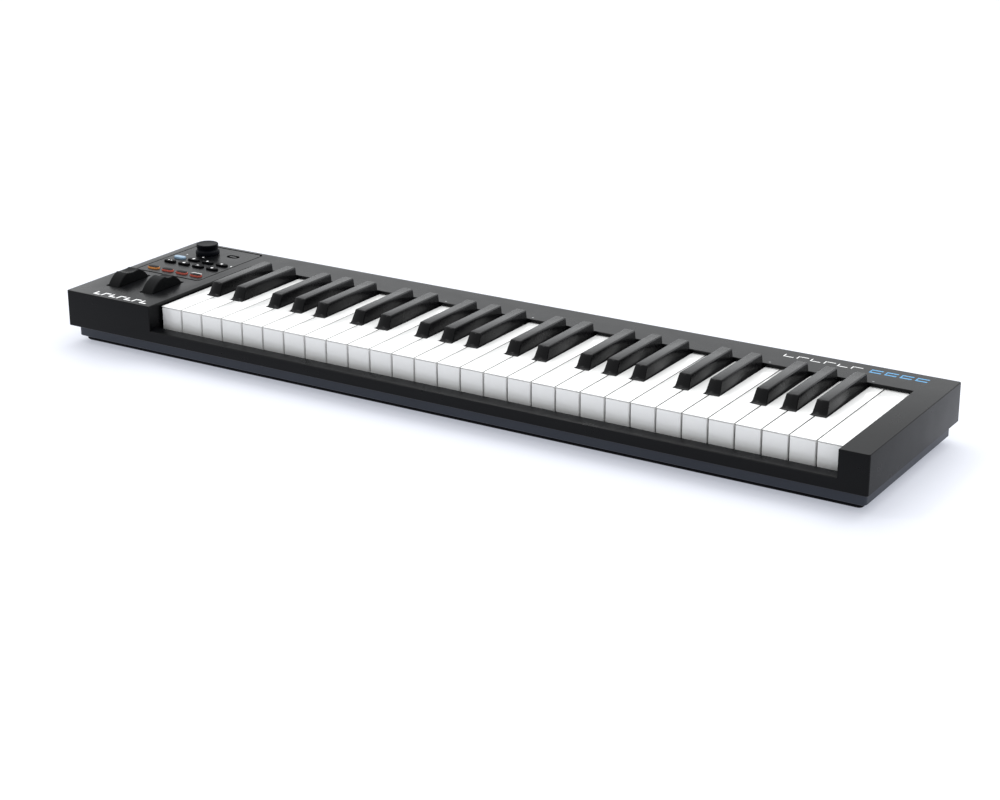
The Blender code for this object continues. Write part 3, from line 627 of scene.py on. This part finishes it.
def make_wheel(name):
    """A rim with its thumb notch, and a web that closes its middle."""
    low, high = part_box(name)
    half = (high.x - low.x) / 2
    cx = (low.x + high.x) / 2
    section = [(half - RIM_CHAMFER, -RIM_DEPTH), (half, RIM_CHAMFER - RIM_DEPTH)]
    for step in range(5):
        angle = math.radians(90 * step / 4)
        section.append((half - RIM_ROUND * (1 - math.cos(angle)), -RIM_ROUND * (1 - math.sin(angle))))
    section += [(half * 0.62, 0.0), (half * 0.25, 0.0)]
    section += [(-x, depth) for x, depth in reversed(section)]
    bm = bmesh.new()
    axis_y, axis_z = WHEEL_AXIS
    rings = []
    for i in range(WHEEL_SIDES):
        degrees = 360 * i / WHEEL_SIDES
        dy, dz = math.cos(math.radians(degrees)), math.sin(math.radians(degrees))
        ring = []
        for x, depth in section:
            near_rim = depth > -RIM_DEPTH / 2
            outside = wheel_reach(degrees, x / half, WHEEL_NOTCHES[name]) if near_rim else WHEEL_RADIUS
            reach = outside + depth
            ring.append(bm.verts.new((cx + x, axis_y + reach * dy, axis_z + reach * dz)))
        rings.append(ring)
    for first, second in zip(rings, rings[1:] + rings[:1]):
        bridge(bm, first, second)
    finish_piece(add_object(name + "_rim", bm), name, LOOKS["wheel"], [name])
    web = rod_along_x(bmesh.new(), cx, half * 2 * WEB_SHARE, WEB_RADIUS, 48)
    finish_piece(add_object(name + "_web", web), name, LOOKS["wheel"])


def make_knob():
    """A skirt, a waist above it, and a body with shallow flutes and a slightly dished top."""
    low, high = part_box("control_knob")
    cx, cy = (low.x + high.x) / 2, (low.y + high.y) / 2
    base, top = PANEL_TOP + KNOB_GAP, high.z
    skirt, body, waist = (high.x - low.x) / 2, KNOB_RADIUS, KNOB_RADIUS - 0.5 * MM
    bevel, edge = 0.3 * MM, 0.9 * MM
    profile = [(0.0, base), (skirt - bevel, base), (skirt, base + bevel), (skirt, base + 3.0 * MM)]
    profile += [(skirt - bevel, base + 3.5 * MM), (body - 0.1 * MM, base + 4.0 * MM)]
    profile += [(waist, base + 4.8 * MM), (body - bevel, base + 6.5 * MM), (body, top - 1.2 * MM)]
    for step in range(1, 5):
        angle = math.radians(90 * step / 4)
        profile.append((body - edge * (1 - math.cos(angle)), top - edge * (1 - math.sin(angle))))
    profile += [(body - 2.2 * MM, top - 0.15 * MM), (0.0, top - 0.25 * MM)]

    def flutes(angle, height):
        grip = base + 4.4 * MM < height < top - 1.0 * MM
        return -FLUTE_DEPTH * (0.5 + 0.5 * math.cos(FLUTES * angle)) if grip else 0.0

    cap = add_object("knob_cap", lathe_into(bmesh.new(), profile, 180, (cx, cy), flutes))
    finish_piece(cap, "control_knob", LOOKS["knob"], ["control_knob"], smooth=35)


def button_rings(cx, cy, grow, bottom, top, edge):
    """A pill with a rounded upper edge."""
    rings = [(pill(cx, cy, *BUTTON_SIZE, grow=grow), bottom)]
    rings += rounded_top_rings(lambda inset: pill(cx, cy, *BUTTON_SIZE, grow=grow - inset), top, edge)
    return rings


def make_keypads():
    """Each row is one silicone mat with four buttons, and its caps ride with it.

    A front button is a lit skirt with a black cap; the first back button is lit all over.
    """
    for keypad in KEYPADS:
        low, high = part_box(keypad)
        y = (low.y + high.y) / 2
        mat = box(keypad + "_mat", (low.x, high.x), (low.y, high.y), (low.z, low.z + MAT_THICKNESS))
        finish_piece(mat, keypad, LOOKS["keypad"], [keypad])
        bottom = low.z + MAT_THICKNESS - 0.1 * MM
        for column, x in enumerate(BUTTON_COLUMNS):
            name = f"{keypad}_cap_{column + 1}"
            if keypad == "front_keypad":
                rings = button_rings(x, y, 0.0, bottom, high.z - CAP_RISE, 0.2 * MM)
                skirt = stack(f"{keypad}_rim_{column + 1}", rings)
                finish_piece(skirt, keypad, LOOKS[LAMPS[column]], smooth=50)
                rings = button_rings(x, y, -CAP_INSET, high.z - CAP_RISE - 0.15 * MM, high.z, 0.3 * MM)
                cap = stack(name, rings)
            else:
                cap = stack(name, button_rings(x, y, 0.0, bottom, high.z, 0.6 * MM))
            lit = keypad == "back_keypad" and column == 0
            finish_piece(cap, keypad, LOOKS["lamp_blue" if lit else "button"], smooth=50)
            if keypad != "front_keypad" and not lit:
                make_icon(name + "_icon", keypad, column, x, y, high.z)


def make_icon(name, keypad, column, x, y, top):
    """A plain shape printed on a button: two dots, one dot, a triangle or a square, by column."""
    if column == 0:
        shapes = [pill(x + side * 1.5 * MM, y, 1.6 * MM, 1.6 * MM, steps=4) for side in (-1, 1)]
    elif column == 1:
        shapes = [circle(x, y, 1.5 * MM, 16)]
    elif column == 2:
        shapes = [[(x - 1.3 * MM, y - 1.4 * MM), (x + 1.5 * MM, y), (x - 1.3 * MM, y + 1.4 * MM)]]
    else:
        half = 1.2 * MM
        shapes = [rounded_rectangle(x - half, x + half, y - half, y + half, 0.3 * MM, 2)]
    bm = bmesh.new()
    for shape in shapes:
        stack_into(bm, [(shape, top - 0.05 * MM), (shape, top + 0.04 * MM)])
    finish_piece(add_object(name, bm), keypad, LOOKS["print_white"], smooth=30)


# ---- printed marks ---------------------------------------------------------------------------------------
def make_print(name, outlines, look):
    """Flat ink on the panel, a hair above it."""
    bm = bmesh.new()
    for outline in outlines:
        stack_into(bm, [(outline, PANEL_TOP - 0.02 * MM), (outline, PANEL_TOP + INK_RISE)])
    finish_piece(add_object(name, bm), "base", LOOKS[look], smooth=30)


def slanted_bar(x0, x1, y0, y1, slant=0.0):
    return [(x0, y0), (x1, y0), (x1 + slant, y1), (x0 + slant, y1)]


def hooks(count, start, pitch, y, upright, bar, thickness, slant=0.0):
    """A row of generic marks: an upright with a bar at its foot or, on every second one, at its top."""
    strokes = []
    for i in range(count):
        x = start + pitch * i
        level = y[1] - thickness if i % 2 else y[0]
        strokes.append(slanted_bar(x, x + upright, *y, slant))
        strokes.append(slanted_bar(x + bar[0], x + bar[1], level, level + thickness, slant / 4))
    return strokes


def brackets(count, start, pitch, y, length, thickness):
    """A row of generic marks: a bar at the foot, a bar at the top, and a short upright between them."""
    strokes = []
    gap = 0.4 * MM
    for i in range(count):
        x = start + pitch * i
        for level in (y[0], y[1] - thickness):
            strokes.append(slanted_bar(x, x + length, level, level + thickness))
        strokes.append(slanted_bar(x, x + 1.2 * MM, y[0] + thickness + gap, y[1] - thickness - gap))
    return strokes


def make_marks():
    """Plain strokes and dots where the maker's lettering would be."""
    y = FRONT + 5.0 * MM, FRONT + 12.6 * MM
    bar = 2.2 * MM, 7.6 * MM
    front_mark = hooks(7, LEFT + 28.5 * MM, 9.3 * MM, y, 1.9 * MM, bar, 2.0 * MM, slant=0.8 * MM)
    make_print("front_mark", front_mark, "print_white")
    y = FRONT + 177.0 * MM, FRONT + 183.0 * MM
    bar = 1.4 * MM, 9.5 * MM
    back_mark = hooks(6, LEFT + 657 * MM, 12.4 * MM, y, 1.0 * MM, bar, 1.2 * MM)
    make_print("back_mark_white", back_mark, "print_white")
    y = y[0] - 1.0 * MM, y[1] + 1.0 * MM
    back_mark = brackets(4, LEFT + 736 * MM, 13.6 * MM, y, 10.5 * MM, 2.0 * MM)
    make_print("back_mark_blue", back_mark, "print_blue")
    places = ((20.4, 152.5, 0.8), (40.5, 152.5, 1.1), (67.2, 141.5, 1.0), (84.4, 141.5, 1.0))
    dots = [circle(LEFT + x * MM, FRONT + y * MM, radius * MM, 16) for x, y, radius in places]
    dots.append(pill(BUTTON_COLUMNS[3] - 4.2 * MM, FRONT + 105.5 * MM, 12.0 * MM, 4.0 * MM))
    make_print("panel_dots", dots, "print_white")
    ticks = []
    half_width, half_depth = 0.9 * MM, 0.5 * MM
    for key in WHITE_KEYS[1::2]:
        x, y = centre_of(key).x, FRONT + 156.5 * MM
        ticks.append(slanted_bar(x - half_width, x + half_width, y - half_depth, y + half_depth))
    make_print("key_ticks", ticks, "print_grey")


# ---- board, sockets and underside ------------------------------------------------------------------------
BOARD_X, BOARD_Y = (LEFT + 9.8 * MM, LEFT + 93.5 * MM), (FRONT + 88 * MM, FRONT + 188 * MM)
BOARD_BOTTOM, BOARD_TOP = 40.0 * MM, 41.6 * MM
ENCODER_SIZE, ENCODER_TOP = 12 * MM, 48 * MM
BRACKET_X, BRACKET_Y = (LEFT + 47.8 * MM, LEFT + 51.7 * MM), (FRONT + 44 * MM, FRONT + 92 * MM)
BRACKET_Z = (26 * MM, 41.3 * MM)
AXLE_RADIUS = 2.8 * MM
PLATE_Y = (BACK - 2.0 * MM, BACK - 0.8 * MM)
PLATE_GAP = 0.3 * MM
SOCKET_HEIGHT = 34.5 * MM
USB_X, USB_HALF_WIDTH, USB_HALF_HEIGHT, USB_WALL = LEFT + 62.0 * MM, 4.2 * MM, 3.85 * MM, 0.5 * MM
USB_LENGTH, USB_DEPTH = 13 * MM, 11 * MM
JACK_X, JACK_RADIUS, JACK_BARREL_RADIUS, JACK_NUT_RADIUS = LEFT + 33.0 * MM, 3.3 * MM, 6.0 * MM, 5.4 * MM
JACK_LENGTH = 26 * MM
SCREWS_FROM_SIDE, SCREWS_FROM_EDGE = (20 * MM, 150 * MM, 300 * MM), 18 * MM


def tube_along_y(name, x, radii, y, sides=40):
    """A ring at the sockets' height with its axis along Y; a zero inner radius gives a disc."""
    inner, outer = radii
    bm = bmesh.new()
    rings = []
    for radius, along in ((outer, y[0]), (outer, y[1]), (inner, y[1]), (inner, y[0])):
        outline = circle(x, SOCKET_HEIGHT, max(radius, 0.01 * MM), sides)
        rings.append([bm.verts.new((px, along, pz)) for px, pz in outline])
    for first, second in zip(rings, rings[1:] + rings[:1]):
        bridge(bm, first, second)
    return add_object(name, bm)


def usb_box(name, y, grow=0.0):
    """A box around the USB socket's mouth."""
    dx, dz = USB_HALF_WIDTH + grow, USB_HALF_HEIGHT + grow
    return box(name, (USB_X - dx, USB_X + dx), y, (SOCKET_HEIGHT - dz, SOCKET_HEIGHT + dz))


def make_board():
    """The control board, its encoder, and the wheels' bracket and axles."""
    board = box("main_board", BOARD_X, BOARD_Y, (BOARD_BOTTOM, BOARD_TOP))
    finish_piece(board, "base", LOOKS["board"], ["control_board"])
    knob, half = centre_of("control_knob"), ENCODER_SIZE / 2
    x, y = (knob.x - half, knob.x + half), (knob.y - half, knob.y + half)
    finish_piece(box("encoder", x, y, (BOARD_TOP - 0.1 * MM, ENCODER_TOP)), "base", LOOKS["steel"])
    finish_piece(box("wheel_bracket", BRACKET_X, BRACKET_Y, BRACKET_Z), "base", LOOKS["frame"])
    axles = bmesh.new()
    buried = 1.0 * MM
    pitch_end, mod_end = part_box("pitch_wheel")[0].x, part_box("mod_wheel")[1].x
    for x0, x1 in ((pitch_end, BRACKET_X[0] + buried), (BRACKET_X[1] - buried, mod_end)):
        rod_along_x(axles, (x0 + x1) / 2, x1 - x0, AXLE_RADIUS, 32)
    finish_piece(add_object("wheel_axles", axles), "base", LOOKS["steel"])


def make_sockets():
    """The socket plate in the back wall, with the USB socket's shell and the jack's barrel and nut."""
    x0, x1, z0, z1 = SOCKET_WINDOW
    inner, outer = PLATE_Y
    plate = box("socket_plate", (x0 + PLATE_GAP, x1 - PLATE_GAP), PLATE_Y, (z0 + PLATE_GAP, z1 - PLATE_GAP))
    past = (inner - OVER, outer + OVER)
    carve(plate, [usb_box("usb_cut", past), tube_along_y("jack_cut", JACK_X, (0.0, JACK_RADIUS), past)])
    finish_piece(plate, "base", LOOKS["keypad"], smooth=30)
    shell = usb_box("usb_shell", (BACK - USB_LENGTH, outer + 0.3 * MM), USB_WALL)
    carve(shell, [usb_box("usb_inside", (BACK - USB_DEPTH, BACK))])
    finish_piece(shell, "base", LOOKS["steel"], smooth=30)
    barrel_y = (BACK - JACK_LENGTH, inner)
    barrel = tube_along_y("jack_barrel", JACK_X, (JACK_RADIUS, JACK_BARREL_RADIUS), barrel_y)
    finish_piece(barrel, "base", LOOKS["keypad"], smooth=30)
    nut_y = (outer - 0.1 * MM, outer + 0.7 * MM)
    nut = tube_along_y("jack_nut", JACK_X, (JACK_RADIUS, JACK_NUT_RADIUS), nut_y, 6)
    finish_piece(nut, "base", LOOKS["steel"], smooth=30)


def make_screws():
    """Dark screw heads in the tray's underside, each with a shallow round drive."""
    bm = bmesh.new()
    head, drive = TRAY_BOTTOM - 0.45 * MM, TRAY_BOTTOM - 0.25 * MM
    profile = [(0.0, drive), (1.0 * MM, drive), (1.2 * MM, head)]
    profile += [(2.6 * MM, head), (3.0 * MM, TRAY_BOTTOM), (0.0, TRAY_BOTTOM + 0.2 * MM)]
    columns = [LEFT + x for x in SCREWS_FROM_SIDE] + [RIGHT - x for x in reversed(SCREWS_FROM_SIDE)]
    for x in columns:
        for y in (FRONT + SCREWS_FROM_EDGE, BACK - SCREWS_FROM_EDGE):
            lathe_into(bm, profile, 24, (x, y))
    finish_piece(add_object("screws", bm), "base", LOOKS["screw"], smooth=30)


# ---- pieces that stay as the CAD has them ----------------------------------------------------------------
def dress_cad_nodes():
    """The keybed frame and the key contact board keep their CAD shapes and get finished materials."""
    for name, look in (("key_frame", "frame"), ("key_circuit_board", "board")):
        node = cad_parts[name]
        node.data.materials.clear()
        node.data.materials.append(LOOKS[look])


# ---- camera, floor and light -----------------------------------------------------------------------------
CAMERA_PLACE = (0.9661, -1.5239, 0.6500)
CAMERA_TILT, CAMERA_ROLL, CAMERA_HEADING = 69.8694, 0.1611, 31.8951
CAMERA_LENS, SENSOR_WIDTH = 77.27, 36.0


def make_camera():
    """A long lens in front of the right end, a little above the panel, looking down at the middle."""
    data = bpy.data.cameras.new("camera")
    data.sensor_width, data.lens = SENSOR_WIDTH, CAMERA_LENS
    camera = bpy.data.objects.new("camera", data)
    camera.location = CAMERA_PLACE
    camera.rotation_euler = [math.radians(angle) for angle in (CAMERA_TILT, CAMERA_ROLL, CAMERA_HEADING)]
    bpy.context.scene.collection.objects.link(camera)
    bpy.context.scene.camera = camera


def make_light(name, place, target, size, power):
    data = bpy.data.lights.new(name, "AREA")
    data.shape = "RECTANGLE"
    data.size, data.size_y = size
    data.energy = power
    lamp = bpy.data.objects.new(name, data)
    lamp.location = place
    lamp.rotation_euler = (Vector(target) - Vector(place)).to_track_quat("-Z", "Y").to_euler()
    bpy.context.scene.collection.objects.link(lamp)


def make_world():
    """A studio that is brightest low behind the keyboard and dimmest behind the camera."""
    world = bpy.data.worlds.new("studio")
    bpy.context.scene.world = world
    world.use_nodes = True
    nodes, links = world.node_tree.nodes, world.node_tree.links
    background = nodes["Background"]
    background.inputs["Color"].default_value = (0.97, 0.985, 1.0, 1.0)
    place = nodes.new("ShaderNodeTexCoord")
    facing = nodes.new("ShaderNodeVectorMath")
    facing.operation = "DOT_PRODUCT"
    facing.inputs[1].default_value = (-0.42, 0.80, 0.43)
    links.new(place.outputs["Generated"], facing.inputs[0])
    strength = nodes.new("ShaderNodeMapRange")
    strength.inputs["From Min"].default_value = -0.6
    strength.inputs["From Max"].default_value = 0.95
    strength.inputs["To Min"].default_value = 0.70
    strength.inputs["To Max"].default_value = 1.42
    links.new(facing.outputs["Value"], strength.inputs["Value"])
    links.new(strength.outputs["Result"], background.inputs["Strength"])


def make_stage():
    """A pale floor that glows a little, a large soft light above, and a small one for the front edges."""
    bm = bmesh.new()
    bmesh.ops.create_grid(bm, x_segments=1, y_segments=1, size=8.0)
    floor = add_object("floor", bm)
    backlit = plastic("floor_white", (0.46, 0.465, 0.485), 0.6, variation=0.0, grain=(20.0, 0.0), ior=1.2)
    shader = backlit.node_tree.nodes["Principled BSDF"]
    shader.inputs["Emission Color"].default_value = (0.35, 0.365, 0.415, 1.0)
    shader.inputs["Emission Strength"].default_value = 1.0
    floor.data.materials.append(backlit)
    make_world()
    make_light("softbox_above", (-0.1, 0.9, 2.0), (0.0, 0.0, 0.0), (2.6, 1.8), 34)
    make_light("edge_light", (-1.3, -1.1, 2.43), (0.2, -0.09, 0.03), (0.28, 0.28), 9)
    bpy.context.scene.view_settings.view_transform = "Standard"


make_casing()
make_tray()
make_feet()
black_centres = [centre_of(name).x for name in BLACK_KEYS]
for key in WHITE_KEYS:
    make_white_key(key, black_centres)
for key in BLACK_KEYS:
    make_black_key(key)
for wheel_name in WHEEL_NOTCHES:
    make_wheel(wheel_name)
make_knob()
make_keypads()
make_marks()
make_board()
make_sockets()
make_screws()
dress_cad_nodes()
make_camera()
make_stage()
